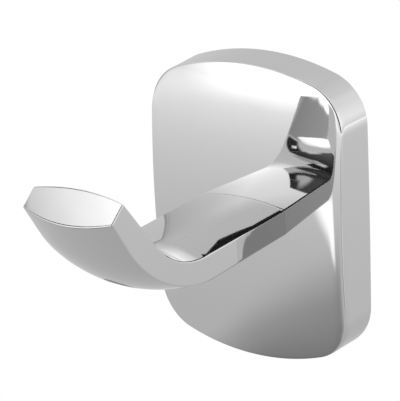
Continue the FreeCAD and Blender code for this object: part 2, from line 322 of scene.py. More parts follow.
def plate_shell():
    """The casting's wall as one closed grid: round the outline, and from the screw hole
    over the face, down the rim, along the wall and back through the cavity."""
    turn = outline_angles()
    start, normal = outline(turn)
    fold = np.arctan2(np.abs(np.sin(turn)), np.abs(np.cos(turn)))
    share = np.clip((fold - roll_full_until) / (roll_least_from - roll_full_until), 0.0, 1.0)
    share = share * share * (3 - 2 * share)
    roll = [side + (end - side) * share for side, end in zip(roll_at_sides, roll_at_ends)]
    edge = rolled_edge(turn, 0.0, crown_radius, *roll, steps=edge_rows)
    rim_turn = np.arctan2(edge[-1][:, 2], edge[-1][:, 0])
    circle = unit_circle(rim_turn) * (arm_screw_hole / 2)
    hole_front = lift(circle, crown_height(circle, crown_radius))
    spread = 1 - (1 - np.linspace(0.0, 1.0, face_rows + 1)) ** face_gather
    face = over_crown(hole_front, edge[-1], crown_radius, spread[:-1])

    wall_foot = lift(start, 0.0)
    back_inner = lift(start - normal * plate_wall, 0.0)
    root_size = np.full(len(turn), cavity_root)
    root = rolled_edge(turn, plate_wall, crown_radius - face_wall, root_size, root_size,
                       root_size, steps=root_rows)[:root_rows]
    pad = rounded_rectangle(rim_turn, pad_size[0] / 2, pad_size[1] / 2, pad_corner)
    pad_foot = lift(pad, crown_height(pad, crown_radius - face_wall))
    pad_rim = lift(pad, pad_level)
    hole_back = lift(circle, pad_level)

    down_rim = np.linspace(0.04, 0.93, 12)
    up_cavity = np.linspace(0.1, 0.96, 9)
    over_ceiling = np.linspace(0.04, 0.96, 16)
    over_pad = np.linspace(0.1, 0.9, 8)
    short_way = (0.2, 0.5, 0.8)
    rows = face + edge[::-1]
    rows += between(edge[0], wall_foot, down_rim)
    rows += softened(edge[0], wall_foot, back_inner, small_edge, steps=5)
    rows += between(wall_foot, back_inner, short_way)
    rows += softened(wall_foot, back_inner, root[0], small_edge, steps=5)
    rows += between(back_inner, root[0], up_cavity)
    rows += root
    rows += over_crown(root[-1], pad_foot, crown_radius - face_wall, over_ceiling)
    rows += softened(root[-1], pad_foot, pad_rim, 2 * small_edge, steps=5)
    rows += softened(pad_foot, pad_rim, hole_back, small_edge, steps=5)
    rows += between(pad_rim, hole_back, over_pad)
    rows += softened(pad_rim, hole_back, hole_front, small_edge, steps=4)
    rows += between(hole_back, hole_front, short_way)
    return np.array(rows)


def prism(name, profile, width):
    """A block from its side view, given as (way out, height) corners, across that width."""
    loop = np.array([(0.0, -out, up) for out, up in profile])
    side = np.array([width / 2, 0.0, 0.0])
    middle = np.broadcast_to(loop.mean(0), loop.shape)
    return ringed(name, [middle - side, loop - side, loop + side, middle + side])


def rod(name, radius, start, stop):
    """A straight round bar between two points: a circle carried from one to the other,
    with a fan of faces over each end."""
    start, stop = Vector(start), Vector(stop)
    circle = np.pad(unit_circle(full_turn(bar_sides)), ((0, 0), (0, 1)))
    spin = np.array((stop - start).to_track_quat("Z", "Y").to_matrix())
    rows = [np.array(place) + circle * size @ spin.T
            for place, size in ((start, 0.0), (start, radius), (stop, radius), (stop, 0.0))]
    return ringed(name, rows)


def bevelled(piece, width, segments=2):
    """The piece with its sharp edges rounded by a modifier."""
    bevel = piece.modifiers.new("edges", "BEVEL")
    bevel.width = width
    bevel.segments = segments
    bevel.limit_method = "ANGLE"
    bevel.angle_limit = sharp_angle
    return piece


def carved(piece, others, operation):
    """Joins the other bodies to the piece's mesh or cuts them from it, and drops them."""
    for other in others:
        change = piece.modifiers.new("carve", "BOOLEAN")
        change.operation = operation
        change.solver = "EXACT"
        change.object = other
    done = piece.evaluated_get(bpy.context.evaluated_depsgraph_get())
    mesh = bpy.data.meshes.new_from_object(done)
    piece.modifiers.clear()
    piece.data = mesh
    for other in others:
        bpy.data.objects.remove(other)
    smoothed(mesh)


def bracket_edge(out):
    """Height of the bracket's bevelled upper edge at a distance from the wall."""
    return bracket_height / 2 - (bracket_thickness - out) * math.tan(bracket_bevel)


def inward(xz):
    """Distance of points (x, z) inside the plate's back outline: from the corner arc in
    its wedge, and otherwise from the nearer of the side arc and the end arc."""
    x, z = np.abs(xz[:, 0]), np.abs(xz[:, 1])
    turn = np.arctan2(z - corner_z, x - corner_x)
    side = side_radius - np.hypot(x - (plate_width / 2 - side_radius), z)
    end = end_radius - np.hypot(x, z - (plate_height / 2 - end_radius))
    corner = plate_corner_radius - np.hypot(x - corner_x, z - corner_z)
    return np.where((turn > side_turn) & (turn < end_turn), corner, np.minimum(side, end))


def mark_inside(piece, depth_of):
    """Writes the "inside" attribute: 0 on the outer skin and 1 below a small depth."""
    spots = np.empty(len(piece.data.vertices) * 3)
    piece.data.vertices.foreach_get("co", spots)
    depth = depth_of(spots.reshape(-1, 3))
    share = np.clip((depth - inside_from) / (inside_full - inside_from), 0.0, 1.0)
    inside = piece.data.attributes.new("inside", "FLOAT", "POINT")
    inside.data.foreach_set("value", share)


def plate_depth_of(spots):
    """Depth of points below the plate's drafted rim and its crown, the smaller of the two."""
    xz, out = spots[:, [0, 2]], -spots[:, 1]
    return np.minimum(inward(xz) - draft_slope * out, crown_height(xz, crown_radius) - out)


class Wire:
    """One output of a shader's nodes. Sums, differences, products and powers of wires and
    numbers add the Math nodes that work them out."""

    def __init__(self, shader, socket):
        self.shader = shader
        self.socket = socket

    def also(self, output):
        """Another output of the same node."""
        return Wire(self.shader, self.socket.node.outputs[output])

    def math(self, operation, first, second):
        return self.shader.node("Math", {"operation": operation}, {0: first, 1: second})

    def __add__(self, other):
        return self.math("ADD", self, other)

    def __sub__(self, other):
        return self.math("SUBTRACT", self, other)

    def __rsub__(self, other):
        return self.math("SUBTRACT", other, self)

    def __mul__(self, other):
        return self.math("MULTIPLY", self, other)

    def __pow__(self, other):
        return self.math("POWER", self, other)

    __radd__ = __add__
    __rmul__ = __mul__


class Shader:
    """The nodes of a material or of the world."""

    def __init__(self, owner):
        self.owner = owner
        self.owner.use_nodes = True
        self.tree = owner.node_tree
        self.tree.nodes.clear()

    def node(self, kind, settings, inputs, output=0):
        """Adds a node: its settings first, then a value or a wire for each input."""
        made = self.tree.nodes.new("ShaderNode" + kind)
        for key, value in settings.items():
            setattr(made, key, value)
        for key, value in inputs.items():
            if isinstance(value, Wire):
                self.tree.links.new(value.socket, made.inputs[key])
            else:
                made.inputs[key].default_value = value
        return Wire(self, made.outputs[output]) if made.outputs else None

    def place(self):
        """A point's place in the shared frame."""
        return self.node("TexCoord", {}, {}, "Object")

    def noise(self, scale, detail=2.0, stretch=(1.0, 1.0, 1.0)):
        """Even noise around 0.5 over the piece's own coordinates, finer along an axis with
        a larger stretch. The scale is in waves a metre."""
        spot = self.node("VectorMath", {"operation": "MULTIPLY"}, {0: self.place(), 1: stretch})
        return self.node("TexNoise", {}, {"Vector": spot, "Scale": scale, "Detail": detail})

    def ramp(self, value, low, high):
        """0 below low, 1 above high, and smooth between."""
        return self.node("MapRange", {"interpolation_type": "SMOOTHSTEP"},
                         {"Value": value, "From Min": low, "From Max": high})

    def parts(self, vector):
        """A vector's three numbers."""
        x = self.node("SeparateXYZ", {}, {0: vector})
        return x, x.also(1), x.also(2)

    def blend(self, share, first, second):
        """A colour between two, each given as a wire, a grey level or three numbers."""
        ends = [end if isinstance(end, Wire) else (*np.broadcast_to(end, 3), 1.0)
                for end in (first, second)]
        return self.node("Mix", {"data_type": "RGBA"}, {0: share, 6: ends[0], 7: ends[1]}, 2)

    def bump(self, height, distance):
        """The normal of a surface raised by the distance where the height is 1."""
        return self.node("Bump", {}, {"Strength": 1.0, "Distance": distance, "Height": height})

    def surface(self, result):
        """What the material or the world shows."""
        kind = "OutputWorld" if isinstance(self.owner, bpy.types.World) else "OutputMaterial"
        self.node(kind, {}, {0: result})

    def metal(self, colour, roughness, normal):
        """Makes the material a metal, and returns it."""
        self.surface(self.node("BsdfPrincipled", {}, {
            "Base Color": colour, "Metallic": 1.0, "Roughness": roughness, "Normal": normal}))
        return self.owner


# Chromium plate over polished metal: mirror bright outside, and a dull grey skin on the
# cast surfaces inside, where the bath reaches poorly and nobody polishes.
chrome_grey = 0.66
chrome_grey_change = 0.01  # lighter and darker
chrome_haze = 0.022
wave_length = 9 * mm
wave_height = 0.012 * mm
sleek_haze = 0.012  # added by the polisher's fine lines
sleek_waves = 400.0  # a metre
sleek_stretch = (1.0, 1.0, 7.0)
smear_haze = 0.01
smear_waves = 90.0  # a metre
smear_range = (0.45, 0.75)  # noise where smears begin and are full
cast_grey = 0.36
cast_grey_change = 0.06
cast_roughness = 0.42
cast_roughness_change = 0.15
cast_grain = 0.6 * mm
cast_grain_height = 4.0  # times the waves of the polish


def chrome(name):
    """Polished chromium, cast and dull where the piece's "inside" attribute is 1."""
    shader = Shader(bpy.data.materials.new(name))
    inside = shader.node("Attribute", {"attribute_name": "inside"}, {}, "Fac")
    polish = shader.noise(1 / wave_length, detail=1.0)
    sleeks = shader.noise(sleek_waves, detail=3.0, stretch=sleek_stretch)
    grain = shader.noise(1 / cast_grain, detail=3.0)
    smear = shader.noise(smear_waves, detail=3.0)
    height = (1 - inside) * polish + inside * grain * cast_grain_height
    haze = chrome_haze + sleek_haze * sleeks + smear_haze * shader.ramp(smear, *smear_range)
    dull = cast_roughness + cast_roughness_change * grain
    grey = shader.blend(smear, chrome_grey - chrome_grey_change, chrome_grey + chrome_grey_change)
    cast = shader.blend(grain, cast_grey - cast_grey_change, cast_grey + cast_grey_change)
    return shader.metal(shader.blend(inside, grey, cast), haze + inside * (dull - haze),
                        shader.bump(height, wave_height))


def finished(piece, material, node):
    """Gives a piece its material, lets it ride on the body and stand for a node."""
    piece.data.materials.append(material)
    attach(piece, "root")
    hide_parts(node)


high = plate_height / 2 - block_root
lug = prism("lug", [(lug_setback, bracket_edge(lug_setback)),
                    (bracket_thickness, bracket_height / 2), (lug_nose, bracket_height / 2),
                    (lug_nose, high), (lug_setback, high)], lug_width)
boss_nose = set_screw_from_wall + boss_width / 2
boss = prism("boss", [(lug_setback, -boss_top), (boss_nose, -boss_top), (boss_nose, -high),
                      (lug_setback, -high)], boss_width)
holes = [rod("set_screw_hole", set_screw_hole / 2,
             (0.0, -set_screw_from_wall, -plate_height / 2 - past),
             (0.0, -set_screw_from_wall, -boss_top + past))]
holes += [rod("pin_hole", pin_hole / 2, (x, -plate_depth - past, 0.0), (x, 0.0, 0.0))
          for x in (-pin_spacing / 2, pin_spacing / 2)]
cover_plate = closed_piece("cover_plate_casting", [(plate_shell(), True, True)])
carved(cover_plate, [bevelled(lug, block_edge), bevelled(boss, block_edge)], "UNION")
carved(cover_plate, holes, "DIFFERENCE")
mark_inside(cover_plate, plate_depth_of)
finished(cover_plate, chrome("plate_chrome"), "cover_plate")


# Hook arm
# A solid brass casting, chromed, with two pins on its foot and a threaded hole for the
# screw behind the plate. Its upper and lower surfaces each run level, bend upwards and
# run straight to the tip, and both are crowned.
arm_width = 20.7 * mm
arm_top = 3.0 * mm
arm_thickness = 5.4 * mm
arm_reach = 52.4 * mm
upper_bend = (27.2 * mm, 21.0 * mm, math.radians(51.5))  # start, radius, angle
lower_bend = (24.2 * mm, 33.0 * mm, math.radians(57.5))
upper_crown = 1.3 * mm
lower_crown = 2.1 * mm
arm_edge_radius = 0.35 * mm
arm_seam = 0.05 * mm
foot_edge = 0.03 * mm
tip_edge = 0.25 * mm
pin_diameter = 3.0 * mm
pin_length = 2.2 * mm
thread_hole = 5.1 * mm
thread_hole_end = 24.1 * mm  # from the wall

arm_columns = 110  # over the top, and as many below
flank_columns = 16
corner_columns = 6
fall_columns = 4
run_rings = 26
bend_rings = 60
tail_rings = 18
near_foot = 0.02  # stations of the rings beside the ends
near_tip = 2.97


def section_columns():
    """Columns once round the arm's section: over the top, down the right flank, back
    along the bottom and up the left flank. Top and bottom are circles that small corner
    circles join to the flanks. Gives x, the height above the upper path, the depth below
    the lower path and the share of the lower path in each column, and how many columns
    the top and a flank have."""
    half, small = arm_width / 2, arm_edge_radius
    tops = []
    for rise in (upper_crown, lower_crown):
        big = (half ** 2 + rise ** 2) / (2 * rise)
        low = rise - big
        corner_in = half - small
        corner_up = low + math.sqrt((big - small) ** 2 - corner_in ** 2)
        lean = math.atan2(corner_up - low, corner_in)
        bend = np.linspace(lean / 2, lean, corner_columns)
        arc = np.linspace(lean, math.pi - lean, arm_columns)[1:-1]
        x = np.concatenate([corner_in + small * np.cos(bend), big * np.cos(arc),
                            -corner_in - small * np.cos(bend[::-1])])
        up = np.concatenate([corner_up + small * np.sin(bend), low + big * np.sin(arc),
                             corner_up + small * np.sin(bend[::-1])])
        fall = np.linspace(lean / 2, 0.0, fall_columns + 1)[1:]
        tops.append((x, up, corner_in + small * np.cos(fall), corner_up + small * np.sin(fall)))
    (top_x, top_up, side_x, side_up), (low_x, low_up, foot_x, foot_up) = tops
    level = np.linspace(0.0, 1.0, flank_columns + 2)[1:-1]
    rest = flank_columns + fall_columns
    flank_x = np.concatenate([side_x, np.full(flank_columns, half), foot_x[::-1]])
    flank_up = np.concatenate([side_up, np.full(rest, side_up[-1])])
    flank_down = np.concatenate([np.full(rest, foot_up[-1]), foot_up[::-1]])
    flank_share = np.concatenate([np.zeros(fall_columns), level, np.ones(fall_columns)])
    x = np.concatenate([top_x[::-1], flank_x, low_x, -flank_x[::-1]])
    up = np.concatenate([top_up[::-1], flank_up, np.zeros(len(low_x)), flank_up[::-1]])
    down = np.concatenate([np.zeros(len(top_x)), flank_down, low_up, flank_down[::-1]])
    share = np.concatenate([np.zeros(len(top_x)), flank_share, np.ones(len(low_x)),
                            flank_share[::-1]])
    return x, up, down, share, len(top_x), len(flank_x)


def along_path(x, level, bend, rise, station, tail):
    """Side view of lines that keep a rise above a path. Level run, bend and straight run
    are one unit of station each, and the run starts on the plate's face. Returns the
    way out from the wall and the height."""
    start, radius, angle = bend
    at_plate = crown_height(np.stack([x, level + rise], -1), crown_radius + arm_seam)
    bend_begins = plate_depth + start
    run = at_plate + np.clip(station, 0.0, 1.0) * (bend_begins - at_plate)
    turn = angle * np.clip(station - 1, 0.0, 1.0)
    beyond = np.clip(station - 2, 0.0, 1.0) * tail
    out = run + (radius - rise) * np.sin(turn) + beyond * math.cos(angle)
    up = level + radius - (radius - rise) * np.cos(turn) + beyond * math.sin(angle)
    return out, up


def inset_ring(ring, axis, distance):
    """The ring moved inwards in the plane across the axis, along its own normals."""
    along = np.roll(ring, -1, 0) - np.roll(ring, 1, 0)
    side = np.cross(along, axis)
    side /= np.linalg.norm(side, axis=1, keepdims=True)
    outwards = np.sign(((ring - ring.mean(0)) * side).sum())
    return ring - side * outwards * distance


def ring_cap(ring, across, down):
    """A patch that fills the ring: each point blends its two pairs of opposite sides, less
    the plain blend of the four corners."""
    right, left = across + down, 2 * across + down - 1
    top = ring[:across]
    bottom = ring[right:left + 1][::-1]
    end = ring[across - 1:right + 1]
    begin = np.concatenate([ring[:1], ring[left:][::-1]])
    u = np.linspace(0.0, 1.0, across)[None, :, None]
    v = np.linspace(0.0, 1.0, down + 2)[:, None, None]
    corners = ((1 - u) * (1 - v) * top[0] + u * (1 - v) * top[-1]
               + (1 - u) * v * bottom[0] + u * v * bottom[-1])
    return ((1 - v) * top[None] + v * bottom[None]
            + (1 - u) * begin[:, None] + u * end[:, None] - corners)


def arm_grids():
    """The arm's skin as rings of its section, a rounded edge at each end, and two caps."""
    x, up, down, share, across, flank = section_columns()
    bottom = arm_top - arm_thickness
    start, radius, turn = upper_bend
    reached = plate_depth + start + radius * math.sin(turn)
    upper_tail = (plate_depth + arm_reach - reached) / math.cos(turn)
    tip = np.array([math.cos(turn), math.sin(turn)])
    end = np.array(along_path(0.0, arm_top, upper_bend, 0.0, 3.0, upper_tail))
    lower_end = np.stack(along_path(x, bottom, lower_bend, -down, 2.0, 0.0), -1)
    ahead = np.array([math.cos(lower_bend[2]), math.sin(lower_bend[2])])
    lower_tail = ((end - lower_end) @ tip) / (ahead @ tip)

    def ring(station):
        out_1, up_1 = along_path(x, arm_top, upper_bend, up, station, upper_tail)
        out_2, up_2 = along_path(x, bottom, lower_bend, -down, station, lower_tail)
        out = out_1 * (1 - share) + out_2 * share
        height = up_1 * (1 - share) + up_2 * share
        return np.stack([x, -out, height], -1)

    foot, last = ring(0.0), ring(3.0)
    tip_axis = np.array([0.0, -tip[0], tip[1]])
    stations = np.concatenate([np.linspace(near_foot, 1.0, run_rings),
                               np.linspace(1.0, 2.0, bend_rings)[1:],
                               np.linspace(2.0, near_tip, tail_rings)[1:]])
    foot_in = inset_ring(foot, np.array([0.0, 1.0, 0.0]), foot_edge)
    last_in = inset_ring(last, tip_axis, tip_edge)
    rows = softened(foot_in, foot, ring(near_foot), foot_edge, steps=4)
    rows += [ring(station) for station in stations]
    rows += softened(ring(near_tip), last, last_in, tip_edge, steps=6)
    foot_cap = ring_cap(rows[0], across, flank)
    inner = foot_cap[1:-1, 1:-1]
    inner[:] = lift(inner[..., [0, 2]],
                    crown_height(inner[..., [0, 2]], crown_radius + arm_seam))
    return [(np.array(rows), False, True), (foot_cap, False, False),
            (ring_cap(rows[-1], across, flank), False, False)]


def arm_depth_of(spots):
    """Depth of the foot's pins below the plate's face, and of the thread's wall beneath
    the hole's rim. Everything else lies above the face."""
    below_face = crown_height(spots[:, [0, 2]], crown_radius) + spots[:, 1]
    off_axis = np.hypot(spots[:, 0], spots[:, 2])
    return np.where(off_axis < thread_hole / 2 + small_edge, inside_full, below_face)


hook_arm = closed_piece("hook_arm_casting", arm_grids())
pins = [rod("pin", pin_diameter / 2, (x, -plate_depth - past, 0.0),
            (x, pin_length - plate_depth, 0.0)) for x in (-pin_spacing / 2, pin_spacing / 2)]
carved(hook_arm, [bevelled(pin, block_edge) for pin in pins], "UNION")
carved(hook_arm, [rod("thread_hole", thread_hole / 2, (0.0, 0.0, 0.0),
                      (0.0, -thread_hole_end, 0.0))], "DIFFERENCE")
mark_inside(hook_arm, arm_depth_of)
finished(hook_arm, chrome("arm_chrome"), "hook_arm")


# Screws and washer
# Turned steel with rolled threads and hexagon sockets. The arm's screw and its washer are
# zinc plated and lie along y behind the pad. The set screw is stainless and stands upright
# in the rim's lower wall.
washer_size = (10.0 * mm, 5.5 * mm, 1.0 * mm)  # outer, bore, thickness
arm_screw_diameter = 5.0 * mm
arm_screw_length = 16.0 * mm
arm_screw_pitch = 0.8 * mm
arm_screw_head = (8.5 * mm, 2.8 * mm)  # diameter, height
arm_screw_socket = (3.0 * mm, 1.8 * mm)  # across flats, depth
head_chamfer = 0.4 * mm
head_fillet = 0.15 * mm  # under the head
thread_from_head = 0.4 * mm
thread_chamfer = 0.6 * mm
set_screw_diameter = 4.0 * mm
set_screw_pitch = 0.7 * mm
set_screw_socket = (2.0 * mm, 2.5 * mm)
set_screw_recess = 0.6 * mm
set_screw_tip = (1.6 * mm, 1.2 * mm)  # diameter, length
set_screw_cone_end = 0.1 * mm  # before the screw's end
set_screw_chamfer = 0.3 * mm
set_screw_rim = 0.35 * mm  # round its flat end, chamfer and all
set_screw_clearance = 0.1 * mm
thread_depth_ratio = 0.61  # of the pitch
wave_steepness = 1.5  # before the wave's top and bottom are cut flat
wave_drop = 0.2  # lowers the wave, which widens the crests
runout = 0.4  # of the pitch, over which the thread ends
runout_depth = 0.35  # share of its depth left at the very end
socket_dish = 0.12 * mm  # how much deeper a drilled floor's middle is
socket_floor = 0.98  # share of the floor within its rounded edge
socket_lead = (0.08 * mm, 0.18 * mm)  # chamfer at the mouth: outwards, down
turned_edge = 0.12 * mm
fine_edge = 0.03 * mm
hairline = 0.02 * mm
chamfer_margin = 0.05 * mm  # from a chamfer to the row beside it
rows_per_turn = 12
screw_columns = 96

steel_grey = (0.47, 0.465, 0.455)
steel_dark = (0.30, 0.295, 0.285)
steel_roughness = 0.22
mark_roughness = 0.1
turning_pitch = 0.12 * mm
turning_depth = 0.006 * mm
oil_roughness = 0.14
oil_waves = 700.0  # a metre
oil_range = (0.5, 0.68)  # noise where oil begins and is full

around = full_turn(screw_columns)


def threaded(radius, pitch, start, stop, chamfer):
    """Rows (distance along, radius all round) of a right-hand thread: the radius less a
    groove whose depth is a flattened triangle wave of distance over pitch less the turn,
    and no more than a chamfer cone at the far end allows."""
    rows = []
    steps = int(round((stop - start) / pitch * rows_per_turn))
    for along in np.linspace(start, stop, steps + 1):
        phase = (along / pitch - around / (2 * np.pi)) % 1.0
        groove = wave_steepness * (1 - np.abs(2 * phase - 1)) - wave_drop
        ends = min(1.0, (along - start) / pitch, (stop - along) / (runout * pitch) + runout_depth)
        cut = radius - np.clip(groove, 0.0, 1.0) * thread_depth_ratio * pitch * ends
        rows.append((along, np.minimum(cut, radius - max(0.0, along - stop + chamfer))))
    return rows


def hexagon(across_flats):
    """Distance from the middle to a hexagon's side in every direction."""
    return across_flats / 2 / np.cos(around % (np.pi / 3) - np.pi / 6)


def socket_rows(opening, socket, face_radius):
    """Rows from the middle of a socket's floor up its six walls to its mouth and out over
    the end face, which lies at the opening."""
    across, deep = socket
    floor = opening + deep
    lead_out, lead_down = socket_lead
    mouth = across / 2 / math.cos(math.pi / 6) + lead_out
    return [(floor + socket_dish, 0.0), (floor, hexagon(across) * socket_floor),
            (floor - hairline, hexagon(across)), (opening + lead_down, hexagon(across)),
            (opening + hairline, mouth), (opening, mouth + fine_edge), (opening, face_radius)]


def turned(name, rows, along_y):
    """A piece from rows (distance along its axis, radius). The axis runs out from the wall
    along the plate's middle, or upwards through the set screw's place."""
    points = []
    for along, radius in rows:
        x, aside = radius * np.cos(around), radius * np.sin(around)
        place = np.full(len(around), along)
        points.append(np.stack([x, -place, aside] if along_y
                               else [x, aside - set_screw_from_wall, place], -1))
    return ringed(name, points)


def from_middle(first, second):
    """Distance from the middle, worked out by nodes from two wires at right angles."""
    return (first * first + second * second) ** 0.5


def turned_steel(name, along_y):
    """Bright steel with fine turning marks round the axis, darker where oil has dried."""
    shader = Shader(bpy.data.materials.new(name))
    x, y, z = shader.parts(shader.place())
    along, aside = (y, z) if along_y else (z, y + set_screw_from_wall)
    rings = shader.node("CombineXYZ", {}, {0: along, 1: from_middle(x, aside)})
    marks = shader.node("TexNoise", {}, {"Vector": rings, "Scale": 1 / turning_pitch,
                                         "Detail": 2.0})
    oiled = shader.ramp(shader.noise(oil_waves, detail=4.0), *oil_range)
    return shader.metal(shader.blend(oiled, steel_grey, steel_dark),
                        steel_roughness + mark_roughness * marks + oil_roughness * oiled,
                        shader.bump(marks, turning_depth))


steel_along_y = turned_steel("screw_steel", True)
outer, bore, thick = washer_size
seat = pad_level - thick  # of the screw's head on the washer
corners = np.array([[(seat, bore / 2)], [(seat, outer / 2)], [(pad_level, outer / 2)],
                    [(pad_level, bore / 2)]])
section = []
for before, corner, after in zip(np.roll(corners, 1, 0), corners, np.roll(corners, -1, 0)):
    section += softened(before, corner, after, turned_edge, steps=4)
washer = turned("arm_screw_washer_steel", np.concatenate(section + section[:1]), True)
finished(washer, steel_along_y, "arm_screw_washer")

head_diameter, head_height = arm_screw_head
head, shank = head_diameter / 2, arm_screw_diameter / 2
top, end = seat - head_height, seat + arm_screw_length
rows = socket_rows(top, arm_screw_socket, head - head_chamfer - chamfer_margin)
rows += [(top + fine_edge, head - head_chamfer + fine_edge), (top + head_chamfer, head),
         (top + head_chamfer + chamfer_margin, head), (seat - turned_edge, head),
         (seat - fine_edge, head - fine_edge), (seat, head - turned_edge),
         (seat, shank + head_fillet), (seat + head_fillet, shank)]
rows += threaded(shank, arm_screw_pitch, seat + thread_from_head, end, thread_chamfer)
arm_screw = turned("arm_screw_steel", rows + [(end, 0.0)], True)
finished(arm_screw, steel_along_y, "arm_screw")

tip_diameter, tip_length = set_screw_tip
shank, point = set_screw_diameter / 2, tip_diameter / 2
base = set_screw_recess - plate_height / 2
tip = -set_screw_clearance - bracket_edge(set_screw_from_wall + point)
rows = socket_rows(base, set_screw_socket, shank - set_screw_rim)
rows += [(base + fine_edge, shank - set_screw_chamfer + hairline),
         (base + set_screw_chamfer, shank)]
rows += threaded(shank, set_screw_pitch, base + set_screw_chamfer + hairline,
                 tip - tip_length, hairline)
rows += [(tip - set_screw_cone_end, point + turned_edge), (tip - hairline, point - hairline),
         (tip, point - turned_edge), (tip, 0.0)]
set_screw = turned("set_screw_steel_body", rows, False)
finished(set_screw, turned_steel("set_screw_steel", False), "set_screw")


# Wall bracket
# A plain zinc casting, tumbled, whose upper and lower edges undercut the lug and the set
# screw. Two countersunk holes and a window for the head of the arm's screw pass through.
bracket_width = 30.0 * mm
bracket_corner = 6.0 * mm
bracket_window = 15.0 * mm
wall_hole = 4.5 * mm
wall_hole_spacing = 32.0 * mm
countersink = (8.6 * mm, 2.05 * mm)  # diameter, depth
bracket_edge_round = 0.25 * mm
bracket_columns = 240
flat_within = math.radians(0.5)  # faces this close to one plane become one

zinc_light = (0.50, 0.515, 0.53)
zinc_dark = (0.40, 0.41, 0.425)
zinc_roughness = 0.34
zinc_grain = 0.35 * mm
zinc_bump = 0.02 * mm
grain_roughness = 0.12
blotch_roughness = 0.16
blotch_waves = 260.0  # a metre
blotch_range = (0.34, 0.72)  # noise where blotches begin and are full
speck_waves = 2600.0
speck_range = (0.66, 0.74)
speck_cover = 0.6


def bracket_blank():
    """Rounded rectangle whose upper and lower ends are cut off at the bevel's height for
    each distance from the wall, with a fan of faces over its back and front."""
    ring = rounded_rectangle(full_turn(bracket_columns), bracket_width / 2,
                             bracket_height / 2, bracket_corner)
    middle = np.zeros((bracket_columns, 2))
    rows = [lift(middle, 0.0)]
    for out in (0.0, bracket_thickness):
        high = bracket_edge(out)
        rows.append(lift(np.stack([ring[:, 0], np.clip(ring[:, 1], -high, high)], -1), out))
    rows.append(lift(middle, bracket_thickness))
    return ringed("wall_bracket_casting", rows)


def zinc(name):
    """Tumbled zinc: satin and fine grained, with duller blotches and dark specks."""
    shader = Shader(bpy.data.materials.new(name))
    blotch = shader.ramp(shader.noise(blotch_waves, detail=5.0), *blotch_range)
    grain = shader.noise(1 / zinc_grain, detail=3.0)
    speck = shader.ramp(shader.noise(speck_waves, detail=2.0), *speck_range)
    colour = shader.blend(blotch, zinc_light, zinc_dark)
    return shader.metal(shader.blend(speck * speck_cover, colour, zinc_dark),
                        zinc_roughness + blotch_roughness * blotch + grain_roughness * grain,
                        shader.bump(grain - speck, zinc_bump))


bracket = bracket_blank()
cuts = [rod("window", bracket_window / 2, (0.0, past, 0.0),
            (0.0, -bracket_thickness - past, 0.0))]
sink_diameter, sink_depth = countersink
slope = (sink_diameter - wall_hole) / 2 / sink_depth
circle = unit_circle(full_turn(bar_sides))
for z in (-wall_hole_spacing / 2, wall_hole_spacing / 2):
    steps = [(-past, 0.0), (-past, wall_hole / 2), (bracket_thickness - sink_depth, wall_hole / 2),
             (bracket_thickness, sink_diameter / 2),
             (bracket_thickness + past, sink_diameter / 2 + past * slope),
             (bracket_thickness + past, 0.0)]
    cuts.append(ringed("wall_hole", [lift(circle * radius + (0.0, z), out)
                                     for out, radius in steps]))
carved(bracket, cuts, "DIFFERENCE")
flat = bmesh.new()
flat.from_mesh(bracket.data)
bmesh.ops.dissolve_limit(flat, angle_limit=flat_within, verts=flat.verts, edges=flat.edges)
flat.to_mesh(bracket.data)
flat.free()
bevelled(bracket, bracket_edge_round, segments=3)
finished(bracket, zinc("bracket_zinc"), "wall_bracket")


# Studio
# A pale floor well below the hook, white all round, and curved panels of a light tent,
# some bright and some dark, which only the polished metal shows.
floor_level = -1.0
sheet_level = -0.95
# Painted shade of the sheet seen in the metal: its glow below the hook, and how much it rises
# outwards.
painted_shade_glow = 0.52  # below the hook
painted_shade_lift = 0.085  # for each metre outwards
floor_half = 9.0
floor_matt_until = 0.3  # outwards from below the hook
floor_white_from = 1.2
floor_albedo = 0.92
tent_radius = 5.0
panel_columns = 33
panel_rows = 17
world_level = 0.8  # as a light on matt things; it is seen as white


def staged(name, grid, material):
    """A sheet of the studio from a grid of points. Its UV map holds the share of the way
    across and upwards at every point."""
    rows, columns = grid.shape[:2]
    faces = grid_faces(rows, columns, False, False)
    mesh = bpy.data.meshes.new(name)
    mesh.from_pydata(grid.reshape(-1, 3).tolist(), [], faces.tolist())
    across = np.tile(np.linspace(0.0, 1.0, columns), rows)
    upwards = np.repeat(np.linspace(0.0, 1.0, rows), columns)
    shares = np.stack([across, upwards], -1)[faces.ravel()]
    mesh.uv_layers.new(name="shares").data.foreach_set("uv", shares.ravel())
    mesh.shade_smooth()
    mesh.materials.append(material)
    sheet = placed(name, mesh)
    return sheet


def only_in_metal(sheet):
    """Leaves the sheet to be seen in reflections alone."""
    sheet.visible_camera = False
    sheet.visible_diffuse = False
    sheet.visible_shadow = False
    sheet.visible_transmission = False


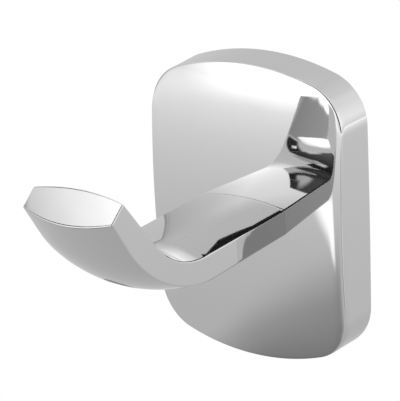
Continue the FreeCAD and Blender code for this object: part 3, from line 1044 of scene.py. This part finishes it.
def tent_panel(name, corners, glow, soft, radius=tent_radius):
    """A panel seen from the hook between four directions, given in degrees as azimuth and
    elevation from lower left, counter-clockwise: a piece of a sphere, over which azimuth
    and elevation blend evenly. glow is its brightness, everywhere or at the same four
    corners, and soft the share of its width or height over which its left, right, lower
    and upper edges fade. A panel with a smaller radius stands in front of the others."""
    u, v = np.meshgrid(np.linspace(0.0, 1.0, panel_columns), np.linspace(0.0, 1.0, panel_rows))
    weights = np.stack([(1 - u) * (1 - v), u * (1 - v), u * v, (1 - u) * v], -1)
    turn, lift_up = np.moveaxis(np.radians(weights @ np.array(corners, float)), -1, 0)
    grid = radius * np.stack([np.sin(turn) * np.cos(lift_up), -np.cos(turn) * np.cos(lift_up),
                              np.sin(lift_up)], -1)
    shader = Shader(bpy.data.materials.new(name))
    across, upwards, _ = shader.parts(shader.node("UVMap", {"uv_map": "shares"}, {}))
    a, b, c, d = np.broadcast_to(glow, 4).tolist()
    low = a + (b - a) * across
    high = d + (c - d) * across
    edges = [across, 1 - across, upwards, 1 - upwards]
    fades = [shader.ramp(edge, 0.0, width) for edge, width in zip(edges, soft) if width]
    light = shader.node("Emission", {}, {"Strength": low + (high - low) * upwards})
    clear = shader.node("BsdfTransparent", {}, {})
    shader.surface(shader.node("MixShader", {}, {0: math.prod(fades), 1: clear, 2: light}))
    only_in_metal(staged(name, grid, shader.owner))


def seen_rays(shader):
    """1 for what the camera sees, straight or in metal or glass, and 0 for other light."""
    rays = shader.node("LightPath", {}, {}, "Is Camera Ray")
    return rays + rays.also("Is Glossy Ray") + rays.also("Is Transmission Ray")


ground = Shader(bpy.data.materials.new("pale_floor"))
x, y, _ = ground.parts(ground.place())
whiteness = seen_rays(ground) * ground.ramp(from_middle(x, y), floor_matt_until, floor_white_from)
matt = ground.node("BsdfDiffuse", {}, {"Color": (floor_albedo,) * 3 + (1,)})
white = ground.node("Emission", {}, {"Strength": 1.0})
ground.surface(ground.node("MixShader", {}, {0: whiteness, 1: matt, 2: white}))
u, v = np.meshgrid((-floor_half, floor_half), (-floor_half, floor_half))
staged("floor", np.stack([u, v, np.full(u.shape, floor_level)], -1), ground.owner)

# A sheet just above the floor, seen only in the metal, glows with painted shade: greyer close to
# the hook and lighter outwards, for the floor's shade in its reflection.
sheet = Shader(bpy.data.materials.new("painted_floor_shade"))
x, y, _ = sheet.parts(sheet.place())
brightness = painted_shade_glow + painted_shade_lift * from_middle(x, y)
sheet.surface(sheet.node("Emission", {}, {"Strength": brightness}))
only_in_metal(staged("painted_floor_shade", np.stack([u, v, np.full(u.shape, sheet_level)], -1),
                     sheet.owner))

# The front light, brightest at azimuth -34, and the shade to its left.
tent_panel("left_front_light", [(-58, -7.5), (-42, -7.5), (-42, 33), (-58, 33)],
           (0.55, 1.15, 1, 0.75), (0.1, 0, 0.1, 0.25))
tent_panel("middle_front_light", [(-42, -7.5), (-34, -7.5), (-34, 33), (-42, 33)],
           (1.15, 1.95, 1.15, 1), (0, 0, 0.1, 0.25))
tent_panel("right_front_light", [(-34, -7.5), (-8, -7.5), (-10, 33), (-34, 33)],
           (1.95, 1.8, 1.5, 1.15), (0, 0.02, 0.1, 0.25))
tent_panel("left_shade", [(-125, -5), (-54, -9), (-54, 38), (-125, 30)],
           (0.36, 0.55, 0.7, 0.36), (0.2, 0.1, 0.1, 0.2), 5.2)

# Dark cloth high in front and round the camera, with a light spot and a grey band.
tent_panel("black_top_left", [(-64, 44.8), (-30, 57.8), (-30, 88), (-64, 88)],
           (0.04, 0.05, 0.22, 0.22), (0.1, 0, 0.03, 0))
tent_panel("ball_light", [(-68, 57.5), (-52, 60), (-49, 77), (-69, 77)],
           1.1, (0.15, 0.5, 0.3, 0.4), 4.9)
tent_panel("black_left", [(-98, 42), (-62, 46.2), (-62, 60), (-92, 56)],
           (0.05, 0.03, 0.05, 0.05), (0.1, 0, 0.1, 0.3))
tent_panel("black_wedge_tip", [(-16.5, 34.7), (20, 34.7), (20, 38.8), (-20.6, 38.8)],
           0.02, (0.01, 0, 0, 0))
tent_panel("black_wedge", [(-20.6, 38.8), (20, 38.8), (20, 41.5), (-29.2, 41.5)],
           0.02, (0.01, 0, 0, 0))
tent_panel("black_above_wedge", [(-29.2, 41.5), (20, 41.5), (20, 50.5), (-27.6, 50.5)],
           (0.02, 0.02, 0.03, 0.03), (0.01, 0, 0, 0))
tent_panel("black_beside_band", [(-18, 50.4), (20, 50.4), (20, 58), (-16, 58)],
           0.03, (0.1, 0, 0, 0))
tent_panel("band_shade", [(-56, 44), (-27.2, 46), (-20, 56.5), (-52, 56.5)],
           0.62, (0.2, 0.1, 0.3, 0), 5.2)
tent_panel("black_top", [(-30, 57.8), (46, 50), (46, 88), (-30, 88)],
           (0.05, 0.03, 0.05, 0.22), (0, 0, 0.03, 0))
tent_panel("black_over_camera", [(-9, 21), (50, 21), (46, 56), (-17, 38)],
           (0.02, 0.02, 0.03, 0.03), (0.02, 0.05, 0.03, 0))
tent_panel("black_round_camera", [(8, -5), (50, -5), (50, 22), (-8, 22)],
           (0.04, 0.04, 0.02, 0.02), (0.03, 0.03, 0.1, 0))

# Grey and white cards low on the right, and the light above them.
tent_panel("grey_right_lowest", [(11, -32), (66, -32), (45.2, -22.8), (11, -22.8)],
           (0.5, 0.4, 0.41, 0.52), (0.1, 0.02, 0.1, 0), 1.6)
tent_panel("grey_right_below", [(11, -22.8), (45.2, -22.8), (45.2, -9), (11, -9)],
           (0.52, 0.41, 0.45, 0.6), (0.1, 0.03, 0, 0.15), 1.6)
tent_panel("light_right_below", [(43, -32), (85, -32), (85, -17), (43, -17)],
           0.98, (0, 0.5, 0.2, 0.2), 1.65)
tent_panel("right_light", [(53, -3), (150, -3), (150, 30), (55, 34)],
           (1.5, 1.2, 0.95, 1.5), (0.05, 0.1, 0.3, 0.3))

# Behind the hook and high on the left, for the rim, the arm's top and its tip.
tent_panel("rear_left_shade", [(-180, -14), (-122, -14), (-122, 24), (-180, 46)],
           (0.76, 0.66, 0.66, 0.78), (0, 0.1, 0.12, 0.06), 5.4)
tent_panel("rear_right_shade", [(148, 20), (180, 20), (180, 46), (148, 46)],
           (0.9, 0.8, 0.78, 0.9), (0.3, 0, 0.3, 0.06), 5.4)
tent_panel("far_high_light", [(-155, 67.6), (-129, 61.9), (-118, 84), (-152, 84)],
           (2.4, 2.6, 2.6, 2.4), (0.05, 0, 0.03, 0.4))
tent_panel("middle_high_light", [(-129, 61.9), (-116.2, 57.7), (-99, 80), (-118, 84)],
           2.6, (0, 0, 0.03, 0.4))
tent_panel("near_high_light", [(-116.2, 57.7), (-101, 49.0), (-84, 66), (-99, 80)],
           (2.6, 2.0, 1.4, 2.4), (0, 0.25, 0.04, 0.4))
tent_panel("grey_left", [(-165, 38), (-95, 38), (-92, 56), (-155, 68)],
           (0.66, 0.45, 0.55, 0.66), (0.1, 0.1, 0.1, 0), 5.2)
tent_panel("tip_light", [(-79, 49.4), (-70.3, 49.6), (-70.3, 54), (-79, 54.6)],
           (0.9, 0.8, 1.9, 1.9), (0.35, 0.05, 0.08, 0.15), 4.8)

# Low in front, close to the hook.
tent_panel("small_light", [(-19.5, -27.5), (-16.5, -27.5), (-16.5, -15.5), (-24.5, -15.5)],
           (1.5, 1.5, 1.6, 1.6), (0.35, 0.3, 0.25, 0.2), 1.8)
tent_panel("front_shade", [(-60, -41.5), (-5, -41.5), (-5, -15), (-60, -41)],
           (0.17, 0.26, 0.4, 0.85), (0.45, 0.2, 0, 0.5), 1)
tent_panel("low_front_shade", [(-60, -64), (-5, -64), (-5, -41.5), (-60, -41.5)],
           (0.2, 0.2, 0.26, 0.17), (0.45, 0.2, 0.2, 0), 1)

world = bpy.data.worlds.new("studio")
bpy.context.scene.world = world
white_all_round = Shader(world)
level = world_level + (1 - world_level) * seen_rays(white_all_round)
white_all_round.surface(
    white_all_round.node("Background", {}, {"Color": (1, 1, 1, 1), "Strength": level}))

bpy.context.scene.view_settings.view_transform = "Standard"
